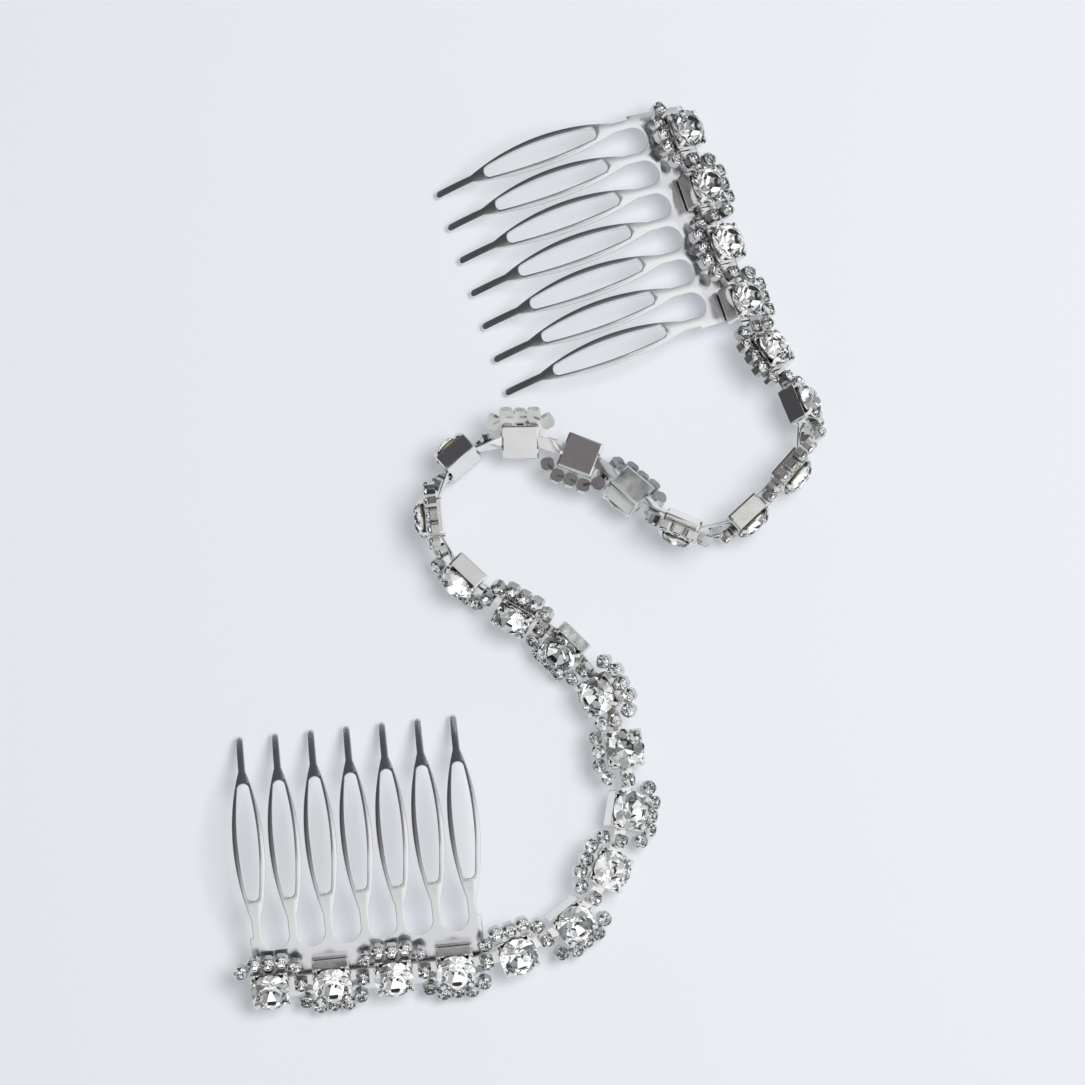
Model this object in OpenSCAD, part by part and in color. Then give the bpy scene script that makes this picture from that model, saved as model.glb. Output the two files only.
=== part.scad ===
// Bridal hair chain: two stamped metal hair combs joined by a flexible
// rhinestone chain, with a wave of small rhinestones woven along it.
// Laid down loosely, the chain makes one full twist between its combs.

/* [Crystals] */
// Diameter of a large crystal at its girdle
crystal_d = 6.4; // [5.8:0.1:7.0]
// Height of a large crystal above its girdle
crown_h = 1.15; // [0.8:0.05:1.5]
// Depth of a large crystal's point below its girdle
point_h = 2.5; // [2.1:0.1:2.8]
// Diameter of a small crystal at its girdle
small_d = 2.05; // [1.9:0.05:2.1]

/* [Cups] */
// Height of a large cup's side walls
cup_h = 3.1; // [2.9:0.1:3.6]
// Thickness of the sheet that the large cups are folded from
sheet = 0.35; // [0.25:0.05:0.4]
// Width of a small cup
small_cup_w = 2.1; // [2:0.05:2.15]
// Cut across each corner of a small cup, measured along its side
small_corner = 0.5; // [0.4:0.05:0.6]
// Height of a small cup's side walls
small_cup_h = 1.25; // [1.1:0.05:1.5]
// Thickness of the small cups' sheet
small_sheet = 0.2; // [0.15:0.05:0.25]
// Width of a large cup's corner claws
claw_w = 0.8; // [0.6:0.05:1]
// Thickness of a large cup's corner claws
claw_t = 0.35; // [0.25:0.05:0.4]
// Width of a small cup's corner claws
small_claw_w = 0.35; // [0.3:0.05:0.5]
// Thickness of a small cup's corner claws
small_claw_t = 0.16; // [0.12:0.02:0.2]

/* [Strip links] */
// Free length of strip between two large cups
link_gap = 4; // [3.7:0.05:4.4]
// Width of the flat strip
strip_w = 2; // [1.6:0.1:2.2]
// Thickness of the flat strip
strip_t = 0.3; // [0.2:0.05:0.35]

/* [Comb] */
// Number of teeth on each comb
teeth = 7; // [5:1:8]
// Distance from one tooth to the next
tooth_pitch = 5.87; // [5.6:0.05:6.2]
// Distance from the tips to the spine's outer edge, seen from above
comb_l = 43.6; // [41:0.2:46]
// Radius that the comb is arched to, at its outer face
arch_r = 33; // [30:0.5:38]
// Thickness of the comb plate
comb_t = 0.9; // [0.7:0.05:1.1]
// Depth of the solid spine behind the teeth
spine_w = 7.6; // [6.6:0.2:8]
// Length of the spine beyond the middle of its last tooth
spine_end = 1.3; // [1:0.1:3]
// Width of a tooth's pin at its tip
pin_w = 1.25; // [1:0.05:1.5]
// Width of a tooth's neck where it leaves the spine
neck_w = 1.55; // [1.3:0.05:1.8]
// Width of a tooth across its eye
leaf_w = 5.15; // [4.8:0.05:5.3]
// Length of the leaf shape that widens a tooth
leaf_l = 29; // [27:0.5:31]
// Distance from the tips to the middle of the leaf shape
leaf_at = 19; // [18.5:0.25:20]
// Length of the eye
eye_l = 18.8; // [17:0.2:20]
// Distance from the tips to the middle of the eye
eye_at = 18.3; // [17.5:0.1:19]
// Width of each of the two prongs beside the eye
prong_w = 0.95; // [0.7:0.05:1.1]
// Distance from the spine's outer edge to the middle of the cups on it
seat = 2.9; // [2.75:0.05:3.5]
// Distance along the chain from the middle of a comb's four cups to the comb's
comb_shift = 1.3; // [0:0.1:2]
// Diameter of the solder drops under the cups
solder_d = 3; // [2:0.25:4]

/* [Hidden] */
// Free room between pieces that sit in or on one another
play = 0.05;
// Free room at the strip's sides in its slot
slot_play = 0.15;
// Free room at the end of each small link
link_play = 0.2;
// How much wider a large crystal is than its cup
overhang = 0.3;
// Width of a crystal's table as a share of its girdle
table_share = 0.55;
// How far a small cup's claws stand proud of its cut corners
claw_proud = 0.04;
// Where a claw ends, as a share of its crystal's radius
claw_reach = 0.9;
// Height of a slot's middle above the cup's floor
slot_lift = 0.42;
// Room in a slot above the middle of its strip
slot_room = 0.55;
// How much wider a strip's head is than the strip
head_extra = 0.9;
// Room between a large cup's side wall and the wave beside it
wave_room = 0.45;
// Room between a strip and the small cup that crosses it
cross_room = 0.25;

// How the chain lies, one value for each large cup from the lower comb to the
// upper one. The first and last four cups sit on the combs and follow them.
comb_cups = 4;
// Way that each cup points along the chain, in degrees from +X
heading = [6, 6, 6, 6, 20, 39, 67, 81, 97, 117, 136, 151, 137, 96,
           41, 1, -21, -40, -23, 43, 49, 112, 122, 109, 109, 109, 109];
// Slope of each cup along the chain
rise = [0, 0, 0, 0, 0, -1, -2, 0, 2, 5, 5, 4, 3, 2,
        1, -1, 0, 0, 0, -1, -3, -8, -6, 0, 0, 0, 0];
// Turn of each free cup about the chain, where 0 has its crystal facing up
lay_roll = [0, 0, 0, 0, 30, 30, 20, 25, 5, -30, -45, -55, -70, -90,
            -105, -143, -186, -221, -252, -268, -272, -295, -315, 0, 0, 0, 0];
// Middle of the fourth cup, which puts the origin under the middle of the part
anchor = [-12.4, -67.38, 3.78];

cups = len(heading);
cup_w = crystal_d - overhang;
cup_in = cup_w - 2 * sheet;
crystal_r = crystal_d / 2;
// A crystal's point rests on the inner edges of its cup's walls
girdle_z = cup_h + point_h * (1 - cup_in / crystal_d) + play;
girdle_h = 0.15;
table_r = table_share * crystal_r;
pitch = cup_w + link_gap;

small_r = small_d / 2;
small_w = small_cup_w;
small_in = small_w - 2 * small_sheet;
small_crown = 0.4;
small_point = 0.85;
small_girdle_z = small_cup_h + small_point * (1 - small_in / small_d) + play;
small_table_r = table_share * small_r;
small_girdle_h = small_sheet / 4;
small_link_w = strip_w / 4;

// The strip turns in its slot about an axis inside the cup's end wall
head_l = 0.35;
head_w = strip_w + head_extra;
head_x = 0.65;
slot_z = sheet + slot_lift;
slot_top = slot_z + slot_room;
strip_lead = 0.4;
axis_x = cup_w / 2 - sheet / 2;
wave_z = slot_z + strip_t / 2 + play;
// A cup that crosses a strip clears the strip's twist
cross_lift = strip_t / 2 + cross_room;

// The wave of small cups passes round each large cup's corners
wave_side_r = cup_w / 2 + small_w / 2 + wave_room;
wave_bulge = 0.15 * cup_w;
arc_cups = 5;
arc_step = 27;

half_comb = comb_l / 2;
comb_tilt = asin((half_comb - seat) / arch_r);
spine_l = (teeth - 1) * tooth_pitch + 2 * spine_end;
gullet_r = (tooth_pitch - neck_w) / 2;
leaf_mid = comb_l - leaf_at;
eye_mid = comb_l - eye_at;
eye_w = leaf_w - 2 * prong_w;
// The eye is cut from a slimmer leaf and rounded near its two ends
slim_l = 0.93 * leaf_l;
eye_end = 0.6;
// How far a neck runs into its leaf
neck_in = 3.5;
pad_t = 0.2;

function odd(k) = k % 2 == 1;
function on_comb(k) = k <= comb_cups || k > cups - comb_cups;
function link_name(k) = str(k < 10 ? "0" : "", k);
FREE = [for (k = [1:cups]) if (!on_comb(k)) k];
COMB_PARTS = ["comb", "solder", "cups", "strips", "wave_cups", "crystals", "wave_crystals"];

// ---- The lay of the chain ----

function rot_x(a) = [[1, 0, 0], [0, cos(a), -sin(a)], [0, sin(a), cos(a)]];
function rot_y(a) = [[cos(a), 0, sin(a)], [0, 1, 0], [-sin(a), 0, cos(a)]];
function rot_z(a) = [[cos(a), -sin(a), 0], [sin(a), cos(a), 0], [0, 0, 1]];
function unit(v) = v / norm(v);
function column(m, i) = [m[0][i], m[1][i], m[2][i]];
function from_columns(x, y, z) = [[x[0], y[0], z[0]], [x[1], y[1], z[1]], [x[2], y[2], z[2]]];
function roll(k) = on_comb(k) ? comb_tilt : lay_roll[k - 1];

// Turn of cup k, with X along the chain and Z out through its crystal
function cup_turn(k) = rot_z(heading[k - 1]) * rot_y(-rise[k - 1]) * rot_x(roll(k));
function forward(k) = column(cup_turn(k), 0);
function way(k) = unit(forward(k) + forward(k + 1));
function stride(k) = (forward(k) + forward(k + 1)) * cup_w / 2 + way(k) * link_gap;
function cup_place(k) =
    k == comb_cups ? anchor
    : k > comb_cups ? cup_place(k - 1) + stride(k - 1)
    : cup_place(k + 1) - stride(k);

// A strip runs between slot axes and twists from one cup's slot to the next
function slot_axis(k, end) = cup_place(k) + cup_turn(k) * [end * axis_x, 0, slot_z];
function strip_x(k) = unit(slot_axis(k + 1, -1) - slot_axis(k, 1));
function across(k, x) = let (y = column(cup_turn(k), 1)) unit(y - (y * x) * x);
function strip_l(k) = norm(slot_axis(k + 1, -1) - slot_axis(k, 1));
function twist_share(k, t) = (t * strip_l(k) - strip_lead) / (strip_l(k) - 2 * strip_lead);
function strip_y(k, t) =
    let (s = min(1, max(0, twist_share(k, t))))
    unit((1 - s) * across(k, strip_x(k)) + s * across(k + 1, strip_x(k)));
function strip_place(k, t) = (1 - t) * slot_axis(k, 1) + t * slot_axis(k + 1, -1);
function strip_turn(k, t) =
    let (x = strip_x(k), y = strip_y(k, t)) from_columns(x, y, cross(x, y));

module put(turn, place) {
    multmatrix([for (i = [0:2]) [turn[i][0], turn[i][1], turn[i][2], place[i]]]) children();
}

module at_cup(k) {
    put(cup_turn(k), cup_place(k)) children();
}

// ---- The wave of small cups, in the frame of the large cup it goes round ----

function wave_r(a) =
    pitch / 2 * pow(cos(a), 2) + wave_side_r * pow(sin(a), 2) + wave_bulge * pow(sin(2 * a), 2);
function wave_at(k, a) = wave_r(a) * [cos(a), (odd(k) ? 1 : -1) * sin(a)];
function arc_angle(i) = 90 + arc_step * ((arc_cups + 1) / 2 - i);
function angle_of(v) = atan2(v[1], v[0]);
function wave_way(k, a) = angle_of(wave_at(k, a - 1) - wave_at(k, a + 1));

// ---- Pieces ----

// A round brilliant-cut crystal: table, crown, girdle and a point below
module brilliant(r, sides, top_r, crown, band, point) {
    top_z = band + crown;
    turns = [for (i = [0:sides / 2 - 1]) (i + 0.5) * 720 / sides];
    top = [for (a = turns) [top_r * cos(a), top_r * sin(a), top_z]];
    upper = [for (i = [0:sides - 1]) let (a = i * 360 / sides) [r * cos(a), r * sin(a), band]];
    lower = [for (p = upper) [p[0], p[1], 0]];
    n = sides;
    h = sides / 2;
    points = concat(top, upper, lower, [[0, 0, -point]]);
    table = [[for (i = [h - 1:-1:0]) i]];
    kites = [for (i = [0:h - 1]) [i, h + (2 * i + 1) % n, h + 2 * i]];
    kites_b = [for (i = [0:h - 1]) [i, h + (2 * i + 2) % n, h + 2 * i + 1]];
    stars = [for (i = [0:h - 1]) [i, (i + 1) % h, h + (2 * i + 2) % n]];
    girdle = [for (i = [0:n - 1]) [h + i, h + (i + 1) % n, h + n + (i + 1) % n, h + n + i]];
    pavilion = [for (i = [0:n - 1]) [h + n + i, h + n + (i + 1) % n, h + 2 * n]];
    polyhedron(points, concat(table, kites, kites_b, stars, girdle, pavilion), 4);
}

module large_crystal() {
    color("whitesmoke")
    translate([0, 0, girdle_z])
    brilliant(crystal_r, 16, table_r, crown_h, girdle_h, point_h);
}

module small_crystal() {
    color("gainsboro")
    translate([0, 0, small_girdle_z])
    brilliant(small_r, 8, small_table_r, small_crown, small_girdle_h, small_point);
}

// Height at which a prong's tip rests on its crystal's crown
function grip_z(r, girdle, crown_slope) = girdle + r * (1 - claw_reach) * crown_slope + play;

// A corner prong as seen from its side, drawn in the plane of its diagonal
module prong(outline, width) {
    rotate([90, 0, 0])
    linear_extrude(width, center = true)
    polygon(outline);
}

// A large cup's prong bends in over the girdle
module large_prong() {
    out = cup_w / sqrt(2) - claw_w / 2;
    foot = cup_h - sheet;
    r = crystal_r;
    girdle = girdle_z + girdle_h;
    tip = r * claw_reach;
    grip = grip_z(r, girdle, crown_h / (r - table_r));
    prong([
        [out - claw_t, foot], [out, foot],
        [out, girdle - claw_t / 2], [r + claw_t * 0.6, grip + claw_t * 0.6],
        [tip, grip + claw_t], [tip, grip], [r + play, girdle + play],
        [r + play, girdle - claw_t / 2]], claw_w);
}

// A small cup's prong is a plain hook
module small_prong() {
    out = (small_w - small_corner) / sqrt(2) + claw_proud;
    foot = small_cup_h - small_sheet;
    r = small_r;
    girdle = small_girdle_z + small_girdle_h;
    grip = grip_z(r, girdle, small_crown / (r - small_table_r));
    prong([
        [out - small_claw_t, foot], [out, foot],
        [out, grip + small_claw_t / 2], [r * claw_reach, grip],
        [r + play, girdle + play]], small_claw_w);
}

module box(size) {
    translate([-size[0] / 2, -size[1] / 2, 0]) cube(size);
}

// A large cup: floor, two solid side walls, slotted end walls and four prongs
module large_cup() {
    color("silver") {
        difference() {
            box([cup_w, cup_w, cup_h]);
            translate([0, 0, sheet]) box([cup_in, cup_in, cup_h]);
            for (end = [-1, 1])
                translate([end * cup_w / 2, 0, -sheet])
                box([2 * sheet, strip_w + 2 * slot_play, slot_top + sheet]);
        }
        for (a = [45:90:315]) rotate(a) large_prong();
    }
}

// A square with its four corners cut off
function cut_square(w, corner) =
    let (h = w / 2, m = h - corner)
    [[h, -m], [h, m], [m, h], [-m, h], [-h, m], [-h, -m], [-m, -h], [m, -h]];

module small_cup() {
    inner_corner = small_corner - small_sheet * (2 - sqrt(2));
    color("silver") {
        difference() {
            linear_extrude(small_cup_h) polygon(cut_square(small_w, small_corner));
            translate([0, 0, small_sheet])
            linear_extrude(small_cup_h) polygon(cut_square(small_in, inner_corner));
        }
        for (a = [45:90:315]) rotate(a) small_prong();
    }
}

// The flat strip from cup k to the next, with a wide head inside each cup
module strip(k) {
    lead = strip_lead / strip_l(k);
    reach = (head_x + play) / strip_l(k);
    turns = 6;
    stations = concat([-reach], [for (i = [0:turns]) lead + (1 - 2 * lead) * i / turns], [1 + reach]);
    steps = len(stations) - 1;
    rings = [for (t = stations) let (m = strip_turn(k, t))
        for (corner = [[-1, -1], [1, -1], [1, 1], [-1, 1]])
            strip_place(k, t)
            + column(m, 1) * corner[0] * strip_w / 2
            + column(m, 2) * corner[1] * strip_t / 2];
    sides = [for (i = [0:steps - 1], j = [0:3]) let (a = 4 * i + j, b = 4 * i + (j + 1) % 4)
        each [[a, a + 4, b], [b, a + 4, b + 4]]];
    last = 4 * steps;
    ends = [[0, 1, 2, 3], [last + 3, last + 2, last + 1, last]];
    color("silver") {
        polyhedron(rings, concat(sides, ends), 4);
        for (t = [0, 1])
            put(strip_turn(k, t), strip_place(k, t))
            translate([(2 * t - 1) * (head_x + head_l / 2), 0, -strip_t / 2])
            box([head_l, head_w, strip_t]);
    }
}

// The small cup that crosses over the middle of strip k
module at_crossing(k) {
    put(strip_turn(k, 0.5), strip_place(k, 0.5))
    translate([0, 0, cross_lift])
    children();
}

module at_arc(k) {
    for (i = [1:arc_cups])
        let (p = wave_at(k, arc_angle(i)))
        translate([p[0], p[1], wave_z])
        rotate(wave_way(k, arc_angle(i)))
        children();
}

// Small links that join each small cup of an arc to the next one
module arc_links(k) {
    for (i = [1:arc_cups - 1]) {
        a = wave_at(k, arc_angle(i));
        b = wave_at(k, arc_angle(i + 1));
        reach = norm(b - a) - small_w / 2 - link_play;
        color("silver")
        translate([a[0], a[1], wave_z])
        rotate(angle_of(b - a))
        translate([0, -small_link_w / 2, 0])
        cube([reach, small_link_w, small_sheet]);
    }
}

module wave_cups(k) {
    at_cup(k) {
        at_arc(k) small_cup();
        arc_links(k);
    }
    if (k < cups) at_crossing(k) small_cup();
}

module wave_crystals(k) {
    at_cup(k) at_arc(k) small_crystal();
    if (k < cups) at_crossing(k) small_crystal();
}

module setting(k) {
    at_cup(k) large_cup();
    strip(k);
    wave_cups(k);
}

module link_crystals(k) {
    at_cup(k) large_crystal();
    wave_crystals(k);
}

// ---- Comb ----
// Drawn with X along the spine and Y from the spine's edge to the tips.

// The shape where two large circles cross, with its long axis along Y
module leaf(length, width) {
    r = (pow(length, 2) + pow(width, 2)) / (4 * width);
    intersection_for (side = [-1, 1])
        translate([side * (r - width / 2), 0])
        circle(r, $fn = 240);
}

module bar(x, y0, y1, width) {
    translate([x - width / 2, y0]) square([width, y1 - y0]);
}

module eye() {
    r = (pow(slim_l, 2) + pow(eye_w, 2)) / (4 * eye_w);
    reach = eye_l / 2 - eye_end;
    end_w = 2 * (sqrt(pow(r, 2) - pow(reach, 2)) - r) + eye_w;
    translate([0, eye_mid]) {
        intersection() {
            leaf(slim_l, eye_w);
            square([eye_w, 2 * reach], center = true);
        }
        for (end = [-1, 1])
            translate([0, end * reach]) circle(end_w / 2, $fn = 48);
    }
}

module comb_outline() {
    difference() {
        union() {
            translate([-spine_l / 2, 0]) square([spine_l, spine_w + gullet_r]);
            for (i = [0:teeth - 1]) {
                x = (i - (teeth - 1) / 2) * tooth_pitch;
                bar(x, spine_w, comb_l - pin_w / 2, pin_w);
                bar(x, spine_w, leaf_mid - leaf_l / 2 + neck_in, neck_w);
                translate([x, comb_l - pin_w / 2]) circle(pin_w / 2, $fn = 48);
                translate([x, leaf_mid]) leaf(leaf_l, leaf_w);
            }
        }
        for (i = [0:teeth - 1])
            translate([(i - (teeth - 1) / 2) * tooth_pitch, 0]) eye();
        for (i = [0:teeth - 2])
            translate([(i - (teeth - 2) / 2) * tooth_pitch, spine_w + gullet_r])
            circle(gullet_r, $fn = 64);
    }
}

module comb() {
    length = spine_l + 2 * leaf_w;
    color("silver")
    intersection() {
        translate([0, 0, -3 * comb_t]) linear_extrude(arch_r) comb_outline();
        translate([0, half_comb, -arch_r * cos(asin(half_comb / arch_r))])
        rotate([0, 90, 0])
        difference() {
            cylinder(length, r = arch_r, center = true, $fn = 240);
            cylinder(length + 1, r = arch_r - comb_t, center = true, $fn = 240);
        }
    }
}

// The comb's arched top passes under the cups that sit on its spine
module at_comb(first) {
    middle = (cup_place(first + 1) + cup_place(first + 2)) / 2;
    seat_z = arch_r * (cos(comb_tilt) - cos(asin(half_comb / arch_r)));
    translate(middle + cup_turn(first) * [comb_shift, 0, -pad_t - 2 * play])
    rotate(heading[first - 1])
    translate([0, -seat, -seat_z])
    children();
}

// Flat drops of solder that hold the large cups on the spine
module solder(first) {
    for (k = [first:first + comb_cups - 1])
        color("darkgray")
        at_cup(k)
        translate([0, 0, -pad_t])
        cylinder(pad_t - play, d = solder_d, $fn = 12);
}

module comb_node(side, first) {
    last = first + comb_cups - 1;
    at_comb(first) comb();
    solder(first);
    for (k = [first:last]) at_cup(k) large_cup();
    for (k = [first:last]) if (k < cups) strip(k);
    for (k = [first:last]) wave_cups(k);
    for (k = [first:last]) at_cup(k) large_crystal();
    for (k = [first:last]) wave_crystals(k);
}

comb_node("lower", 1);
comb_node("upper", cups - comb_cups + 1);
for (k = FREE) {
    setting(k);
    link_crystals(k);
}
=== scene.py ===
import math
import random

import bmesh
import bpy
from mathutils import Matrix, Vector


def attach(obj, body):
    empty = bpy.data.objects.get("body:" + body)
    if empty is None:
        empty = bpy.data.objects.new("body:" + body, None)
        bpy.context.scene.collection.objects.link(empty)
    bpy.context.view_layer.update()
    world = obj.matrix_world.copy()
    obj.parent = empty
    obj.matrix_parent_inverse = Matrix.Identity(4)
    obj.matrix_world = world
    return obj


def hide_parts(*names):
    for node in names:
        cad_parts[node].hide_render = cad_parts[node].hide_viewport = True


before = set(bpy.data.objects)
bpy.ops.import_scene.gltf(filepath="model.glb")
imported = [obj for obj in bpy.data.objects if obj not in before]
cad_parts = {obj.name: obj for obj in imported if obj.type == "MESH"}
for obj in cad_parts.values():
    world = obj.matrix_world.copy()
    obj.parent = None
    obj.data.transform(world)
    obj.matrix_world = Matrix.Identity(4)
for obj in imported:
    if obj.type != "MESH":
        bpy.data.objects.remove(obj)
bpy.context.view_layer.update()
mm = 0.001

# The chain in millimetres and degrees, laid as in the source, with small cups and stones a little larger
chain = {
    "crystal": 6.4, "overhang": 0.3, "crown": 1.15, "point": 2.5, "girdle": 0.15,
    "small": 2.13, "smallCrown": 0.4, "smallPoint": 0.85, "table": 0.55,
    "cupHeight": 3.1, "sheet": 0.35, "smallCup": 2.18, "smallCorner": 0.5,
    "smallHeight": 1.25, "smallSheet": 0.2,
    "gap": 4.0, "stripWidth": 2.0, "stripThick": 0.3,
    "stripLead": 0.4, "stripEdge": 0.08, "stripSteps": 12,
    "slotLift": 0.42, "slotRoom": 0.55, "slotPlay": 0.15, "play": 0.05,
    "headAt": 0.8, "headLength": 0.35, "headExtra": 0.9, "crossRoom": 0.25,
    "waveRoom": 0.2, "waveBulge": 0.13, "arcCups": 5, "arcStep": 27,
    "linkWidth": 0.5, "linkPlay": 0.12,
    "onComb": 4, "combRadius": 33.0, "combLength": 43.6, "seat": 2.9, "pad": 0.2, "combShift": 1.3,
    "anchor": (-12.4, -67.38, 3.78),
    "heading": [6, 6, 6, 6, 20, 39, 67, 81, 97, 117, 136, 151, 137, 96,
                41, 1, -21, -40, -23, 43, 49, 112, 122, 109, 109, 109, 109],
    "rise": [0, 0, 0, 0, 0, -1, -2, 0, 2, 5, 5, 4, 3, 2,
             1, -1, 0, 0, 0, -1, -3, -8, -6, 0, 0, 0, 0],
    "roll": [0, 0, 0, 0, 30, 30, 20, 25, 5, -30, -45, -55, -70, -90,
             -105, -143, -186, -221, -252, -268, -272, -295, -315, 0, 0, 0, 0],
}

c = chain
cupCount = len(c["heading"])
cupWide = c["crystal"] - c["overhang"]
cupInside = cupWide - 2 * c["sheet"]
stoneRadius = c["crystal"] / 2
stoneSeat = c["cupHeight"] + c["point"] * (1 - cupInside / c["crystal"]) + c["play"]
smallInside = c["smallCup"] - 2 * c["smallSheet"]
smallSeat = c["smallHeight"] + c["smallPoint"] * (1 - smallInside / c["small"]) + c["play"]
smallGirdle = c["smallSheet"] / 4
slotMiddle = c["sheet"] + c["slotLift"]
axisAt = cupWide / 2 - c["sheet"] / 2
waveFloor = slotMiddle + c["stripThick"] / 2 + c["play"]
combTilt = math.degrees(math.asin((c["combLength"] / 2 - c["seat"]) / c["combRadius"]))


def spin3(degrees, axis):
    return Matrix.Rotation(math.radians(degrees), 3, axis)


def onComb(k):
    return k <= c["onComb"] or k > cupCount - c["onComb"]


def turnOf(k):  # X runs along the chain and Z out through the crystal
    roll = combTilt if onComb(k) else c["roll"][k - 1]
    return spin3(c["heading"][k - 1], "Z") @ spin3(-c["rise"][k - 1], "Y") @ spin3(roll, "X")


def strideOf(k):
    both = turnOf(k).col[0] + turnOf(k + 1).col[0]
    return both * cupWide / 2 + both.normalized() * c["gap"]


turns = {k: turnOf(k) for k in range(1, cupCount + 1)}
places = {c["onComb"]: Vector(c["anchor"])}
for k in range(c["onComb"] + 1, cupCount + 1):
    places[k] = places[k - 1] + strideOf(k - 1)
for k in range(c["onComb"] - 1, 0, -1):
    places[k] = places[k + 1] - strideOf(k)


def framed(turn, place):
    return Matrix.Translation(place) @ turn.to_4x4()


def slotOf(k, end):
    return places[k] + turns[k] @ Vector((end * axisAt, 0, slotMiddle))


def stripFrame(k, share):  # the strip's own frame at a share of its length
    start, end = slotOf(k, 1), slotOf(k + 1, -1)
    length = (end - start).length
    along = (end - start) / length
    sides = [(turns[j].col[1] - turns[j].col[1].dot(along) * along).normalized() for j in (k, k + 1)]
    twist = (share * length - c["stripLead"]) / (length - 2 * c["stripLead"])
    twist = min(1, max(0, twist))
    side = ((1 - twist) * sides[0] + twist * sides[1]).normalized()
    turn = Matrix((along, side, along.cross(side))).transposed()
    return framed(turn, start + share * (end - start)), length


def waveAt(k, angle):
    a = math.radians(angle)
    side = (cupWide + c["smallCup"]) / 2 + c["waveRoom"]
    reach = (cupWide + c["gap"]) / 2 * math.cos(a) ** 2 + side * math.sin(a) ** 2
    reach += c["waveBulge"] * cupWide * math.sin(2 * a) ** 2
    return Vector((reach * math.cos(a), (1 if k % 2 else -1) * reach * math.sin(a), waveFloor))


def arcAngle(i):
    return 90 + c["arcStep"] * ((c["arcCups"] + 1) / 2 - i)


def waveFrames(k):  # the small cups of one arc, and the one that crosses the next strip
    found = []
    for i in range(1, c["arcCups"] + 1):
        way = waveAt(k, arcAngle(i) - 1) - waveAt(k, arcAngle(i) + 1)
        heading = math.atan2(way.y, way.x)
        found.append(framed(turns[k], places[k]) @ Matrix.Translation(waveAt(k, arcAngle(i)))
                     @ Matrix.Rotation(heading, 4, "Z"))
    if k < cupCount:
        lift = c["stripThick"] / 2 + c["crossRoom"]
        found.append(stripFrame(k, 0.5)[0] @ Matrix.Translation((0, 0, lift)))
    return found


def combFrame(first):  # X runs along the spine and Y out to the tips
    middle = (places[first + 1] + places[first + 2]) / 2
    middle += turns[first] @ Vector((c["combShift"], 0, -c["pad"] - 2 * c["play"]))
    endSlope = math.asin(c["combLength"] / 2 / c["combRadius"])
    seatHeight = c["combRadius"] * (math.cos(math.radians(combTilt)) - math.cos(endSlope))
    turn = spin3(c["heading"][first - 1], "Z")
    return framed(turn, middle) @ Matrix.Translation((0, -c["seat"], -seatHeight))


class Term:  # an output socket that can be added, multiplied and compared
    def __init__(self, finish, socket):
        self.finish = finish
        self.socket = socket

    def math(self, operation, *terms):
        return self.finish.node("ShaderNodeMath", {"operation": operation}, dict(enumerate(terms)))

    def __add__(self, other):
        return self.math("ADD", self, other)

    def __sub__(self, other):
        return self.math("SUBTRACT", self, other)

    def __rsub__(self, other):
        return self.math("SUBTRACT", other, self)

    def __mul__(self, other):
        return self.math("MULTIPLY", self, other)

    def most(self, other):
        return self.math("MAXIMUM", self, other)

    __radd__ = __add__
    __rmul__ = __mul__


class Finish:
    def __init__(self, name, tree=None):
        self.material = None
        if tree is None:
            self.material = bpy.data.materials.new(name)
            self.material.use_nodes = True
            tree = self.material.node_tree
        self.tree = tree
        self.shader = tree.nodes.get("Principled BSDF")

    def node(self, kind, settings=None, inputs=None, output=0):
        made = self.tree.nodes.new(kind)
        for key, value in (settings or {}).items():
            if key == "stops":
                ramp = made.color_ramp
                while len(ramp.elements) < len(value):
                    ramp.elements.new(0.5)
                for stop, (at, colour) in zip(ramp.elements, value):
                    stop.position = at
                    stop.color = (*colour, 1)
            else:
                setattr(made, key, value)
        self.feed(made, inputs or {})
        return Term(self, made.outputs[output])

    def feed(self, made, inputs):
        for key, value in inputs.items():
            if isinstance(value, Term):
                self.tree.links.new(value.socket, made.inputs[key])
            else:
                made.inputs[key].default_value = value

    def mixed(self, factor, *colours):
        first, second = (v if isinstance(v, Term) else (*v, 1) for v in colours)
        return self.node("ShaderNodeMix", {"data_type": "RGBA"},
                         {0: factor, 6: first, 7: second}, output=2)

    def surface(self, **inputs):
        self.feed(self.shader, {key.replace("_", " "): value for key, value in inputs.items()})
        return self.material


plating = {  # dull is how far the tone falls in the cloudy patches
    "comb": {"colour": (0.86, 0.87, 0.89), "rough": 0.2, "grain": 0.15, "wave": 0.5, "dull": 0.9},
    "cup": {"colour": (0.93, 0.93, 0.92), "rough": 0.12, "grain": 0.02, "wave": 0.35, "dull": 0.78},
    "smallCup": {"colour": (0.93, 0.93, 0.92), "rough": 0.18, "grain": 0.2, "wave": 0.6, "dull": 0.45},
    "solder": {"colour": (0.62, 0.62, 0.63), "rough": 0.4, "grain": 0.6, "wave": 1.0, "dull": 0.9},
    "roughSpread": 0.12, "cloudScale": 260, "fineScale": 2600, "bump": 0.3, "bumpDepth": 0.0002,
}


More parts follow.
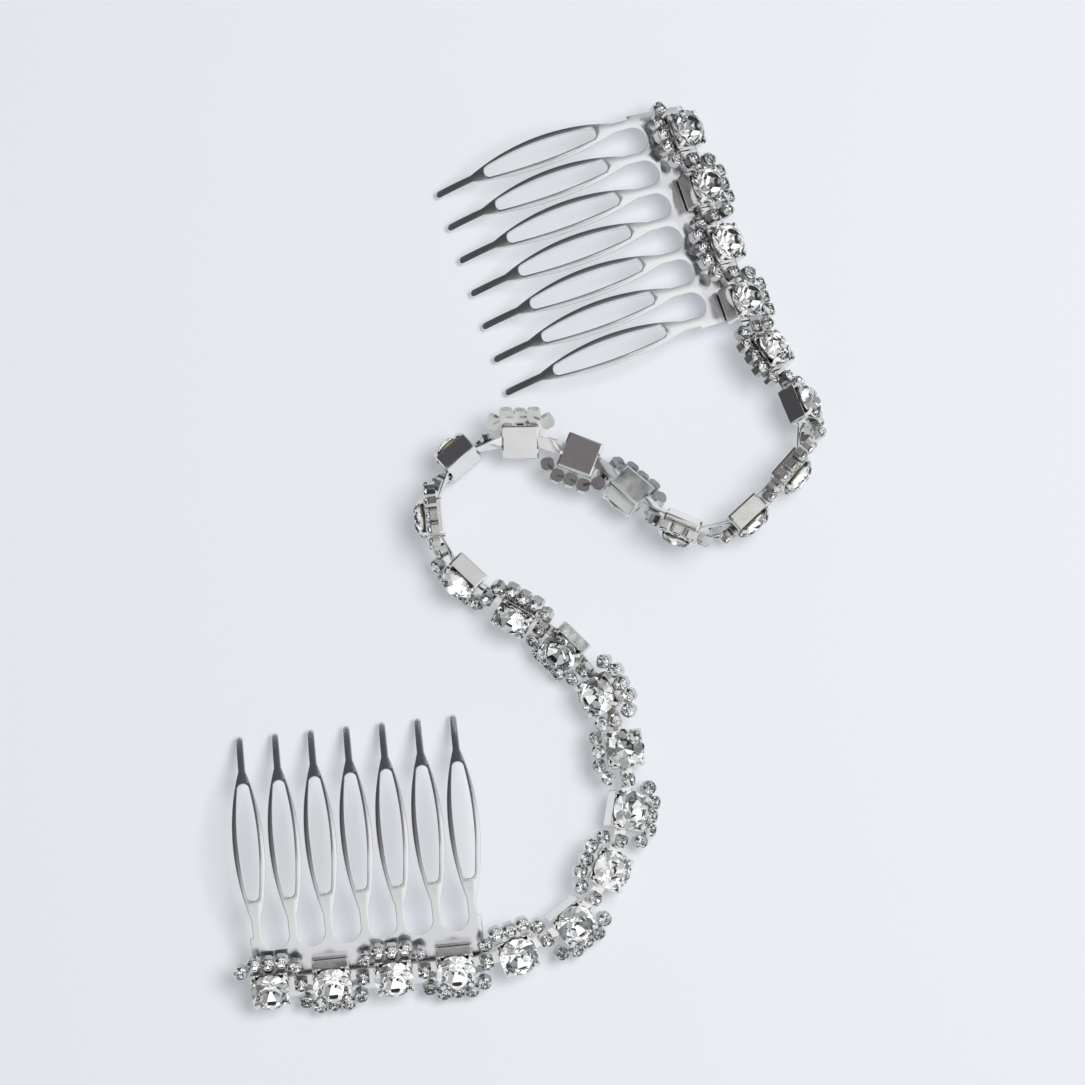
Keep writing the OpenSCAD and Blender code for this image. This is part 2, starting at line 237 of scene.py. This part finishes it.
def platedMetal(name, colour, rough, grain, wave, dull):
    f = Finish(name)
    at = f.node("ShaderNodeTexCoord", output="Object")
    cloud = f.node("ShaderNodeTexNoise", {}, {"Vector": at, "Scale": plating["cloudScale"], "Detail": 3})
    fine = f.node("ShaderNodeTexNoise", {}, {"Vector": at, "Scale": plating["fineScale"], "Detail": 2})
    height = cloud * wave + fine * grain
    bump = f.node("ShaderNodeBump", {}, {
        "Strength": plating["bump"], "Distance": plating["bumpDepth"], "Height": height})
    tone = f.mixed(cloud, [x * dull for x in colour], colour)
    spread = plating["roughSpread"]
    patchy = fine * spread + (rough - spread / 2)
    return f.surface(Base_Color=tone, Metallic=1.0, Roughness=patchy, Normal=bump)


stones = {
    "glass": ((0.97, 0.98, 0.985), (1.0, 1.0, 1.0)), "glassScale": 400, "index": 1.5,
    # Foil tones from dark grey to white, one drawn at random for each facet: painted reflections on what
    # is really an even silver mirror
    "foil": [
        (0, (0.2, 0.21, 0.215)), (0.12, (0.5, 0.51, 0.515)), (0.35, (0.9, 0.91, 0.915)), (1, (1, 1, 1))],
    "foilRough": 0.05,
    "gilt": ((0.26, 0.24, 0.13), (0.5, 0.47, 0.28)), "giltScale": 900, "giltMetal": 0.8, "giltRough": 0.3,
    "bandDepth": 0.55, "bandThick": 0.03,
    "facets": 8, "halfLift": 0.07, "halfFall": 0.06, "starLift": 0.16, "starAt": 1.02,
}


def glassCrown(name):
    f = Finish(name)
    at = f.node("ShaderNodeTexCoord", output="Object")
    cloud = f.node("ShaderNodeTexNoise", {}, {"Vector": at, "Scale": stones["glassScale"], "Detail": 1})
    tone = f.mixed(cloud, *stones["glass"])
    return f.surface(Base_Color=tone, Roughness=0.0, IOR=stones["index"], Transmission_Weight=1.0)


def mirrorFoil(name):
    f = Finish(name)
    # Each facet's tone is a painted reflection, picked at random from the foil list
    shade = f.node("ShaderNodeAttribute", {"attribute_name": "shade"}, output="Fac")
    tone = f.node("ShaderNodeValToRGB", {"stops": stones["foil"]}, {"Fac": shade})
    return f.surface(Base_Color=tone, Metallic=1.0, Roughness=stones["foilRough"])


def lacqueredFoil(name):  # the gilt back of the foil, seen between cup and girdle
    f = Finish(name)
    at = f.node("ShaderNodeTexCoord", output="Object")
    cloud = f.node("ShaderNodeTexNoise", {}, {"Vector": at, "Scale": stones["giltScale"], "Detail": 2})
    tone = f.mixed(cloud, *stones["gilt"])
    return f.surface(Base_Color=tone, Metallic=stones["giltMetal"], Roughness=stones["giltRough"])


combSteel = platedMetal("plated_comb", **plating["comb"])
cupBrass = platedMetal("plated_cup", **plating["cup"])
smallBrass = platedMetal("plated_small_cup", **plating["smallCup"])
solderGrey = platedMetal("soft_solder", **plating["solder"])
crownGlass = glassCrown("clear_crown")
silverFoil = mirrorFoil("silver_foil")
giltFoil = lacqueredFoil("gilt_foil")
print("finishes made")


def kept(bm, name, material=0):
    bmesh.ops.recalc_face_normals(bm, faces=bm.faces)
    if material:
        for face in bm.faces:
            face.material_index = material
    mesh = bpy.data.meshes.new(name)
    bm.to_mesh(mesh)
    bm.free()
    return mesh


def cutStone(name, radius, girdle, crown, point, halves=False):
    sides, table = stones["facets"], c["table"]
    bm = bmesh.new()
    bmesh.ops.create_cone(bm, cap_ends=True, segments=sides * 2, radius1=radius, radius2=radius,
                          depth=crown + point + girdle)
    bmesh.ops.translate(bm, verts=bm.verts, vec=(0, 0, (crown + girdle - point) / 2))

    def facet(angle, slope, at, up):  # grinds one flat, as on a lap
        flat = math.sin(slope)
        normal = Vector((flat * math.cos(angle), flat * math.sin(angle), up * math.cos(slope)))
        cut = bmesh.ops.bisect_plane(bm, geom=bm.verts[:] + bm.edges[:] + bm.faces[:], dist=1e-5,
                                     plane_co=at, plane_no=normal, clear_outer=True)
        edges = [e for e in cut["geom_cut"] if isinstance(e, bmesh.types.BMEdge)]
        if len(edges) > 2:
            bmesh.ops.contextual_create(bm, geom=edges)

    crownSlope = math.atan2(crown, radius * (1 - table))
    pointSlope = math.atan2(point, radius)
    for i in range(sides):
        a = 2 * math.pi * i / sides
        rim = Vector((radius * math.cos(a), radius * math.sin(a), 0))
        facet(a, crownSlope, rim + Vector((0, 0, girdle)), 1)
        facet(a, pointSlope, rim, -1)
    if halves:
        step = math.pi / sides
        for i in range(2 * sides):  # the small facets that meet the girdle
            a = (i + 0.5) * step
            rim = Vector((radius * math.cos(a), radius * math.sin(a), 0)) * math.cos(step / 4)
            facet(a, crownSlope + stones["halfLift"], rim + Vector((0, 0, girdle)), 1)
            facet(a, pointSlope + stones["halfFall"], rim, -1)
        for i in range(sides):  # the stars beside the table
            a = (2 * i + 1) * step
            inner = radius * table * stones["starAt"]
            facet(a, crownSlope - stones["starLift"],
                  Vector((inner * math.cos(a), inner * math.sin(a), crown + girdle)), 1)
    facet(0, 0, Vector((0, 0, girdle + crown)), 1)
    bm.normal_update()
    for face in bm.faces:
        face.material_index = 0 if face.normal.z > 0.1 else 1
    return kept(bm, name)


cups = {
    "corner": 0.35, "rounds": 3, "fold": 0.3, "rim": 0.05, "rimAngle": 70, "inset": 0.15,
    "clawTaper": 0.7,
    "claw": {
        "width": 0.62, "thick": 0.36, "bend": 62, "steps": 3, "reach": 0.75, "foot": 0.5, "grip": 0.41,
        "inward": 0.4},
    "smallClaw": {
        "width": 0.55, "thick": 0.2, "bend": 58, "steps": 1, "reach": 0.38, "foot": 0.25, "grip": 0.28,
        "inward": -0.04},
}


def claw(width, thick, foot, rise, bend, steps, reach):
    bm = bmesh.new()
    bmesh.ops.create_grid(bm, x_segments=1, y_segments=1, size=0.5)
    bmesh.ops.scale(bm, verts=bm.verts, vec=(thick, width, 1))
    bmesh.ops.translate(bm, verts=bm.verts, vec=(0, 0, foot))
    top = bm.faces[:]

    def grown():
        nonlocal top
        made = bmesh.ops.extrude_face_region(bm, geom=top, use_keep_orig=len(bm.faces) == 1)["geom"]
        top = [v for v in made if isinstance(v, bmesh.types.BMFace)]
        return [v for v in made if isinstance(v, bmesh.types.BMVert)]

    bmesh.ops.translate(bm, verts=grown(), vec=(0, 0, rise))
    for i in range(steps):
        bmesh.ops.rotate(bm, verts=grown(), cent=(-thick, 0, foot + rise),
                         matrix=Matrix.Rotation(-bend / steps, 3, "Y"))
    tip = grown()
    bmesh.ops.translate(bm, verts=tip, vec=Vector((-math.sin(bend), 0, math.cos(bend))) * reach)
    bmesh.ops.scale(bm, verts=tip, vec=(1, cups["clawTaper"], 1))
    inner = [f for f in bm.faces if all(len(e.link_faces) > 2 for e in f.edges)]
    bmesh.ops.delete(bm, geom=inner, context="FACES_ONLY")
    bmesh.ops.recalc_face_normals(bm, faces=bm.faces)
    return bm


def foldedCup(name, wide, tall, sheet, corner, clawShape, clawAt, rounds=1, bend=0, rim=0, slot=None):
    bm = bmesh.new()

    def endWall(end):
        return [f for f in bm.faces if end * f.calc_center_median().x > wide / 2 - corner]

    bmesh.ops.create_cube(bm, size=1)
    bmesh.ops.scale(bm, verts=bm.verts, vec=(wide, wide, tall))
    bmesh.ops.translate(bm, verts=bm.verts, vec=(0, 0, tall / 2))
    bmesh.ops.delete(bm, geom=[f for f in bm.faces if f.normal.z > 0.9], context="FACES_ONLY")
    uprights = [e for e in bm.edges if abs(e.verts[0].co.z - e.verts[1].co.z) > tall / 2]
    bmesh.ops.bevel(bm, geom=uprights, offset=corner, segments=rounds,
                    affect="EDGES", profile=0.5, material=-1)
    if bend:
        folds = [e for e in bm.edges if max(v.co.z for v in e.verts) < 0.01]
        bmesh.ops.bevel(bm, geom=folds, offset=bend, segments=2, affect="EDGES", profile=0.5, material=-1)
    for end in (-1, 1) if slot else ():
        half, top = slot
        sides = (((0, half, 0), (0, 1, 0)), ((0, -half, 0), (0, 1, 0)), ((0, 0, top), (0, 0, 1)))
        for at, normal in sides:
            wall = endWall(end)
            edges, verts = {e for f in wall for e in f.edges}, {v for f in wall for v in f.verts}
            geom = wall + list(edges) + list(verts)
            bmesh.ops.bisect_plane(bm, geom=geom, dist=1e-5, plane_co=at, plane_no=normal)
        gone = [f for f in endWall(end)
                if abs(f.calc_center_median().y) < half and f.calc_center_median().z < top]
        bmesh.ops.delete(bm, geom=gone, context="FACES")
    bmesh.ops.recalc_face_normals(bm, faces=bm.faces)
    core = Vector((0, 0, tall / 2))
    if sum(f.normal.dot(f.calc_center_median() - core) for f in bm.faces) < 0:
        bmesh.ops.reverse_faces(bm, faces=bm.faces)
    bmesh.ops.solidify(bm, geom=bm.faces[:], thickness=sheet)
    if rim:  # the cut edge of the sheet, just broken
        bm.normal_update()
        rimAngle = math.radians(cups["rimAngle"])
        edges = [e for e in bm.edges if len(e.link_faces) == 2 and e.calc_face_angle() > rimAngle]
        bmesh.ops.bevel(bm, geom=edges, offset=rim, segments=1, affect="EDGES", profile=0.5, material=-1)
        flats = [f for f in bm.faces if f.calc_area() > wide * tall / 3
                 and f.normal.dot(f.calc_center_median() - core) > 0]
        bmesh.ops.inset_individual(bm, faces=flats, thickness=cups["inset"])
        corners = list({v for f in flats for v in f.verts})
        bmesh.ops.remove_doubles(bm, verts=corners, dist=2 * cups["inset"])
    for i in range(4):
        extra = claw(**clawShape)
        bmesh.ops.translate(extra, verts=extra.verts, vec=(clawAt, 0, 0))
        bmesh.ops.rotate(extra, verts=extra.verts, cent=(0, 0, 0), matrix=spin3(45 + 90 * i, "Z"))
        spare = kept(extra, "claw")
        bm.from_mesh(spare)
        bpy.data.meshes.remove(spare)
    return kept(bm, name)


def foilBand(name, stone, depth, thick):  # gilt shell on the stone's back, just below its girdle
    bm = bmesh.new()
    bm.from_mesh(stone)
    bm.normal_update()
    bmesh.ops.delete(bm, geom=[f for f in bm.faces if f.normal.z > -0.1], context="FACES")
    bmesh.ops.bisect_plane(bm, geom=bm.verts[:] + bm.edges[:] + bm.faces[:], dist=1e-5,
                           plane_co=(0, 0, -depth), plane_no=(0, 0, 1), clear_inner=True)
    bmesh.ops.translate(bm, verts=bm.verts, vec=(0, 0, -thick))
    bmesh.ops.solidify(bm, geom=bm.faces[:], thickness=-thick)
    return kept(bm, name, material=2)


def plainBar(name):
    bm = bmesh.new()
    bmesh.ops.create_cube(bm, size=1)
    return kept(bm, name)


def clawFor(values, tall, seat):  # a claw grows from inside the wall and bends over the stone
    shape = {key: values[key] for key in ("width", "thick", "steps", "reach")}
    return {**shape, "foot": tall - values["foot"], "rise": seat - tall + values["grip"],
            "bend": math.radians(values["bend"])}


clawOut, smallOut = (
    half / math.sqrt(2) - cups[kind]["inward"] - cups[kind]["thick"] / 2
    for half, kind in ((cupWide, "claw"), (c["smallCup"] - c["smallCorner"], "smallClaw")))
largeStone = cutStone("large_stone", stoneRadius, c["girdle"], c["crown"], c["point"], halves=True)
smallStone = cutStone("small_stone", c["small"] / 2, smallGirdle, c["smallCrown"], c["smallPoint"])
largeCup = foldedCup(
    "large_cup", cupWide, c["cupHeight"], c["sheet"], cups["corner"],
    clawFor(cups["claw"], c["cupHeight"], stoneSeat), clawOut, rounds=cups["rounds"], bend=cups["fold"],
    rim=cups["rim"], slot=(c["stripWidth"] / 2 + c["slotPlay"], slotMiddle + c["slotRoom"]))
smallCup = foldedCup(
    "small_cup", c["smallCup"], c["smallHeight"], c["smallSheet"], c["smallCorner"],
    clawFor(cups["smallClaw"], c["smallHeight"], smallSeat), smallOut)
foil = foilBand("foil_band", largeStone, stones["bandDepth"], stones["bandThick"])
barShape = plainBar("bar")
for face in smallCup.polygons:
    face.material_index = 1
print("shapes made:", *(len(shape.polygons) for shape in (largeStone, smallStone, largeCup, smallCup)))

shading = {"smooth": 40, "flatArea": 4}  # degrees, and square millimetres


def placed(name, bm, materials, body, stood, smooth=False, flatArea=math.inf):
    mesh = bpy.data.meshes.new(name)
    bm.to_mesh(mesh)
    bm.free()
    if smooth:
        mesh.shade_smooth()
        mesh.set_sharp_from_angle(angle=math.radians(shading["smooth"]))
        for face in mesh.polygons:  # the large flats stay flat
            if face.area > flatArea * mm * mm:
                face.use_smooth = False
    for material in materials:
        mesh.materials.append(material)
    made = bpy.data.objects.new(name, mesh)
    bpy.context.scene.collection.objects.link(made)
    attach(made, body)
    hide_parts(*stood)


def gathered(name, parts, materials, body, stood, smooth=False, seed=None):
    bm = bmesh.new()
    shade = bm.faces.layers.float.new("shade") if seed is not None else None
    for shape, matrix in parts:
        before = len(bm.verts)
        bm.from_mesh(shape)
        bm.verts.ensure_lookup_table()
        bmesh.ops.transform(bm, matrix=matrix, verts=bm.verts[before:])
    bmesh.ops.scale(bm, vec=(mm, mm, mm), verts=bm.verts)
    # A random number for each face, which the foil reads as its painted reflection tone
    if seed is not None:
        dice = random.Random(seed)
        for face in bm.faces:
            face[shade] = dice.random()
    placed(name, bm, materials, body, stood, smooth, shading["flatArea"])


def stripMesh(k):
    bm = bmesh.new()
    length = stripFrame(k, 0)[1]
    lead, reach = c["stripLead"] / length, (c["headAt"] + c["play"]) / length
    steps = c["stripSteps"]
    stations = [-reach] + [lead + (1 - 2 * lead) * i / steps for i in range(steps + 1)] + [1 + reach]
    outline = bmesh.ops.create_grid(bm, x_segments=1, y_segments=1, size=0.5)["verts"]
    bmesh.ops.scale(bm, verts=outline, vec=(c["stripThick"], c["stripWidth"], 1))
    bmesh.ops.bevel(bm, geom=outline, offset=c["stripEdge"], segments=2,
                    affect="VERTICES", profile=0.5, material=-1)
    section = Matrix.Rotation(math.radians(90), 4, "Y")
    bmesh.ops.transform(bm, matrix=stripFrame(k, stations[0])[0] @ section, verts=bm.verts)
    last = bm.faces[:]
    for a, b in zip(stations, stations[1:]):
        grown = bmesh.ops.extrude_face_region(bm, geom=last, use_keep_orig=a == stations[0])
        verts = [v for v in grown["geom"] if isinstance(v, bmesh.types.BMVert)]
        last = [v for v in grown["geom"] if isinstance(v, bmesh.types.BMFace)]
        bmesh.ops.transform(bm, matrix=stripFrame(k, b)[0] @ stripFrame(k, a)[0].inverted(), verts=verts)
    return kept(bm, "strip")


def barBetween(k, i):  # the small link from one cup of the arc to the next
    a, b = waveAt(k, arcAngle(i)), waveAt(k, arcAngle(i + 1))
    way = b - a
    reach = way.length - c["smallCup"] / 2 - c["linkPlay"]
    turn = Matrix.Rotation(math.atan2(way.y, way.x), 4, "Z")
    size = Matrix.Diagonal((reach, c["linkWidth"], c["smallSheet"], 1))
    return (framed(turns[k], places[k]) @ Matrix.Translation(a) @ turn
            @ Matrix.Translation((reach / 2, 0, c["smallSheet"] / 2)) @ size)


def metalOf(k, parts):
    if "cup" in parts:
        yield largeCup, framed(turns[k], places[k])
    if "strip" in parts and k < cupCount:
        yield stripMesh(k), Matrix.Identity(4)
        for share, end in ((0, -1), (1, 1)):
            wide = c["stripWidth"] + c["headExtra"]
            size = Matrix.Diagonal((c["headLength"], wide, c["stripThick"], 1))
            at = Matrix.Translation((end * (c["headAt"] + c["headLength"] / 2), 0, 0))
            yield barShape, stripFrame(k, share)[0] @ at @ size
    if "wave" in parts:
        for small in waveFrames(k):
            yield smallCup, small
        for i in range(1, c["arcCups"]):
            yield barShape, barBetween(k, i)


def stonesOf(k):
    seat = framed(turns[k], places[k]) @ Matrix.Translation((0, 0, stoneSeat))
    return [(largeStone, seat), (foil, seat)]


def smallStonesOf(k):
    return [(smallStone, small @ Matrix.Translation((0, 0, smallSeat))) for small in waveFrames(k)]


comb = {
    "teeth": 7, "pitch": 5.87, "leaf": 5.15, "spine": 7.6, "crown": 0.34, "crownLead": 7, "edge": 0.12,
    "edgeAngle": 50, "mergeAngle": 0.4,
}


def crownDrop(at):  # how far the pressed crown of a tooth has fallen at a point
    outer = comb["teeth"] // 2
    tooth = min(outer, max(-outer, round(at.x / comb["pitch"])))
    across = min(1, abs(at.x - tooth * comb["pitch"]) * 2 / comb["leaf"])
    along = min(1, max(0, (at.y - comb["spine"]) / comb["crownLead"]))
    return comb["crown"] * across ** 2 * along ** 2 * (3 - 2 * along)


def combPiece(side, first):
    name = side + "_comb"
    bm = bmesh.new()
    bm.from_mesh(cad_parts[name].data)
    bmesh.ops.remove_doubles(bm, verts=bm.verts, dist=1e-6)
    bmesh.ops.scale(bm, verts=bm.verts, vec=(1 / mm, 1 / mm, 1 / mm))
    home = combFrame(first)
    bmesh.ops.transform(bm, verts=bm.verts, matrix=home.inverted())
    bmesh.ops.dissolve_limit(bm, angle_limit=math.radians(comb["mergeAngle"]),
                             verts=bm.verts, edges=bm.edges)
    for i in range(comb["teeth"]):  # a line along the middle of each tooth
        x = (i - (comb["teeth"] - 1) / 2) * comb["pitch"]
        bmesh.ops.bisect_plane(bm, geom=bm.verts[:] + bm.edges[:] + bm.faces[:], dist=1e-4,
                               plane_co=(x, 0, 0), plane_no=(1, 0, 0))
    edgeAngle = math.radians(comb["edgeAngle"])
    rim = [e for e in bm.edges if len(e.link_faces) == 2 and e.calc_face_angle() > edgeAngle]
    bmesh.ops.bevel(bm, geom=rim, offset=comb["edge"], segments=2,
                    affect="EDGES", profile=0.5, material=-1)
    for vert in bm.verts:
        vert.co.z -= crownDrop(vert.co)
    bmesh.ops.transform(bm, verts=bm.verts, matrix=home)
    bmesh.ops.scale(bm, verts=bm.verts, vec=(mm, mm, mm))
    placed(name + "_plate", bm, [combSteel], name, [name], smooth=True)


metalFinish = [cupBrass, smallBrass]
stoneFinish = [crownGlass, silverFoil, giltFoil]
for side, first in (("lower", 1), ("upper", cupCount - c["onComb"] + 1)):
    body = side + "_comb"
    ks = range(first, first + c["onComb"])
    combPiece(side, first)
    for kind, parts in (("cups", "cup"), ("strips", "strip"), ("wave_cups", "wave")):
        gathered(f"{side}_{kind}_metal", [p for k in ks for p in metalOf(k, (parts,))], metalFinish, body,
                 [f"{side}_{kind}"], smooth=True)
    gathered(side + "_stones", [p for k in ks for p in stonesOf(k)], stoneFinish, body,
             [side + "_crystals"], seed=side)
    gathered(side + "_wave_stones", [p for k in ks for p in smallStonesOf(k)], stoneFinish, body,
             [side + "_wave_crystals"], seed=side + "wave")
    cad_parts[side + "_solder"].data.materials.clear()
    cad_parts[side + "_solder"].data.materials.append(solderGrey)

for k in range(c["onComb"] + 1, cupCount - c["onComb"] + 1):
    body = f"link_{k:02d}"
    gathered(f"setting_metal_{k:02d}", list(metalOf(k, ("cup", "strip", "wave"))), metalFinish, body,
             [f"setting_{k:02d}"], smooth=True)
    gathered(f"stones_{k:02d}", stonesOf(k) + smallStonesOf(k), stoneFinish, body,
             [f"crystals_{k:02d}"], seed=k)
print("pieces made")

view = {"middle": (1.86, 2.44, 0.0), "elevation": 81, "wide": 179.0, "away": 1200.0}
camera = bpy.data.objects.new("camera", bpy.data.cameras.new("camera"))
bpy.context.scene.collection.objects.link(camera)
bpy.context.scene.camera = camera
tilt = math.radians(view["elevation"])
back = Vector((0, -math.cos(tilt), math.sin(tilt)))
camera.location = (Vector(view["middle"]) + back * view["away"]) * mm
camera.rotation_euler = (math.radians(90 - view["elevation"]), 0, 0)
camera.data.sensor_width = 36
camera.data.lens = camera.data.sensor_width * view["away"] / view["wide"]
camera.data.clip_start = 0.1
camera.data.clip_end = 10

studio = {
    "floor": (0.80, 0.825, 0.865), "floorSize": 2, "floorRough": 0.6, "floorGlow": 0.97, "lift": 0.35,
    "key": 6.9, "keySize": 0.5, "keyAt": (0.31, 0.03, 0.86),
    "world": 0.3, "worldTint": (0.97, 0.985, 1.0),
    "dark": (0.075, 0.085, 0.11), "brown": (0.072, 0.07, 0.075), "ceiling": (0.2, 0.185, 0.19),
    "bright": (0.98, 0.98, 0.98),
    "windowAcross": (0.1, 0.35), "windowAlong": (0.3, 0.7, 1.0, 0.5),
    "frontAcross": (-0.8, -0.35, 0.0, 0.8), "frontAlong": (0.2, -0.5),
    "panel": (0.1, 0.02, 0.995), "panelEdge": (0.2, 0.08),
    "brownFrom": (0.1, -0.6), "ceilingFrom": (0.75, 0.95),
    "cells": 3.2, "sparkle": (0.36, 0.62, 0.42, 1.5),
}
floorMesh = bpy.data.meshes.new("floor")
bm = bmesh.new()
bmesh.ops.create_grid(bm, x_segments=1, y_segments=1, size=studio["floorSize"])
bm.to_mesh(floorMesh)
bm.free()
floor = bpy.data.objects.new("floor", floorMesh)
bpy.context.scene.collection.objects.link(floor)
pale = Finish("pale_floor")
floorMesh.materials.append(pale.surface(Base_Color=(*studio["floor"], 1), Roughness=studio["floorRough"]))
direct = 1 - pale.node("ShaderNodeLightPath", output="Is Diffuse Ray")
glow = pale.node("ShaderNodeEmission", {}, {
    "Color": (*studio["floor"], 1), "Strength": studio["floorGlow"]})
shown = pale.node("ShaderNodeMixShader", {}, {
    0: direct * studio["lift"], 1: Term(pale, pale.shader.outputs[0]), 2: glow})
pale.feed(pale.tree.nodes["Material Output"], {"Surface": shown})

key = bpy.data.objects.new("key", bpy.data.lights.new("key", "AREA"))
key.data.shape = "DISK"
key.data.size = studio["keySize"]
key.data.energy = studio["key"]
key.visible_glossy = False  # the world holds what the metal and glass mirror
key.visible_transmission = False
key.location = studio["keyAt"]
key.rotation_euler = (-key.location).to_track_quat("-Z", "Y").to_euler()
bpy.context.scene.collection.objects.link(key)

world = bpy.data.worlds.new("studio")
bpy.context.scene.world = world
world.use_nodes = True
w = Finish("studio", world.node_tree)
sky = w.node("ShaderNodeTexCoord", output="Generated")
x, y, z = (w.node("ShaderNodeSeparateXYZ", {}, {0: sky}, output=i) for i in range(3))


def ramped(value, low, high, start=0.0, end=1.0):
    return w.node("ShaderNodeMapRange", {"interpolation_type": "SMOOTHSTEP"}, {
        "Value": value, "From Min": low, "From Max": high, "To Min": start, "To Max": end})


# Metal sees bright windows to the right and in front, a small panel above and a dark room elsewhere
window = ramped(x, *studio["windowAcross"]) * ramped(y, *studio["windowAlong"])
front = ramped(y, *studio["frontAlong"]) * ramped(x, *studio["frontAcross"])
spread = w.node("ShaderNodeVectorMath", {"operation": "DISTANCE"}, {
    0: sky, 1: studio["panel"]}, output="Value")
panel = ramped(spread, *studio["panelEdge"])
bright = window.most(front).most(panel)
walls = w.mixed(ramped(x, *studio["brownFrom"]), studio["dark"], studio["brown"])
room = w.mixed(ramped(z, *studio["ceilingFrom"]), walls, studio["ceiling"])
seen = w.mixed(bright, room, studio["bright"])
# Light that comes out of a stone has passed many small lights
cells = w.node("ShaderNodeTexNoise", {}, {
    "Vector": sky, "Scale": studio["cells"], "Detail": 1}, output="Fac")
sparkle = ramped(cells, *studio["sparkle"])
rays = {
    kind: w.node("ShaderNodeLightPath", output=f"Is {kind} Ray") for kind in ("Diffuse", "Transmission")}
stone = w.node("ShaderNodeCombineColor", {}, {0: sparkle, 1: sparkle, 2: sparkle})
mirrored = w.mixed(rays["Transmission"], seen, stone)
lit = w.mixed(rays["Diffuse"], mirrored, [studio["world"] * v for v in studio["worldTint"]])
w.feed(world.node_tree.nodes["Background"], {"Color": lit, "Strength": 1.0})
bpy.context.scene.view_settings.view_transform = "Standard"

print("camera and light made")
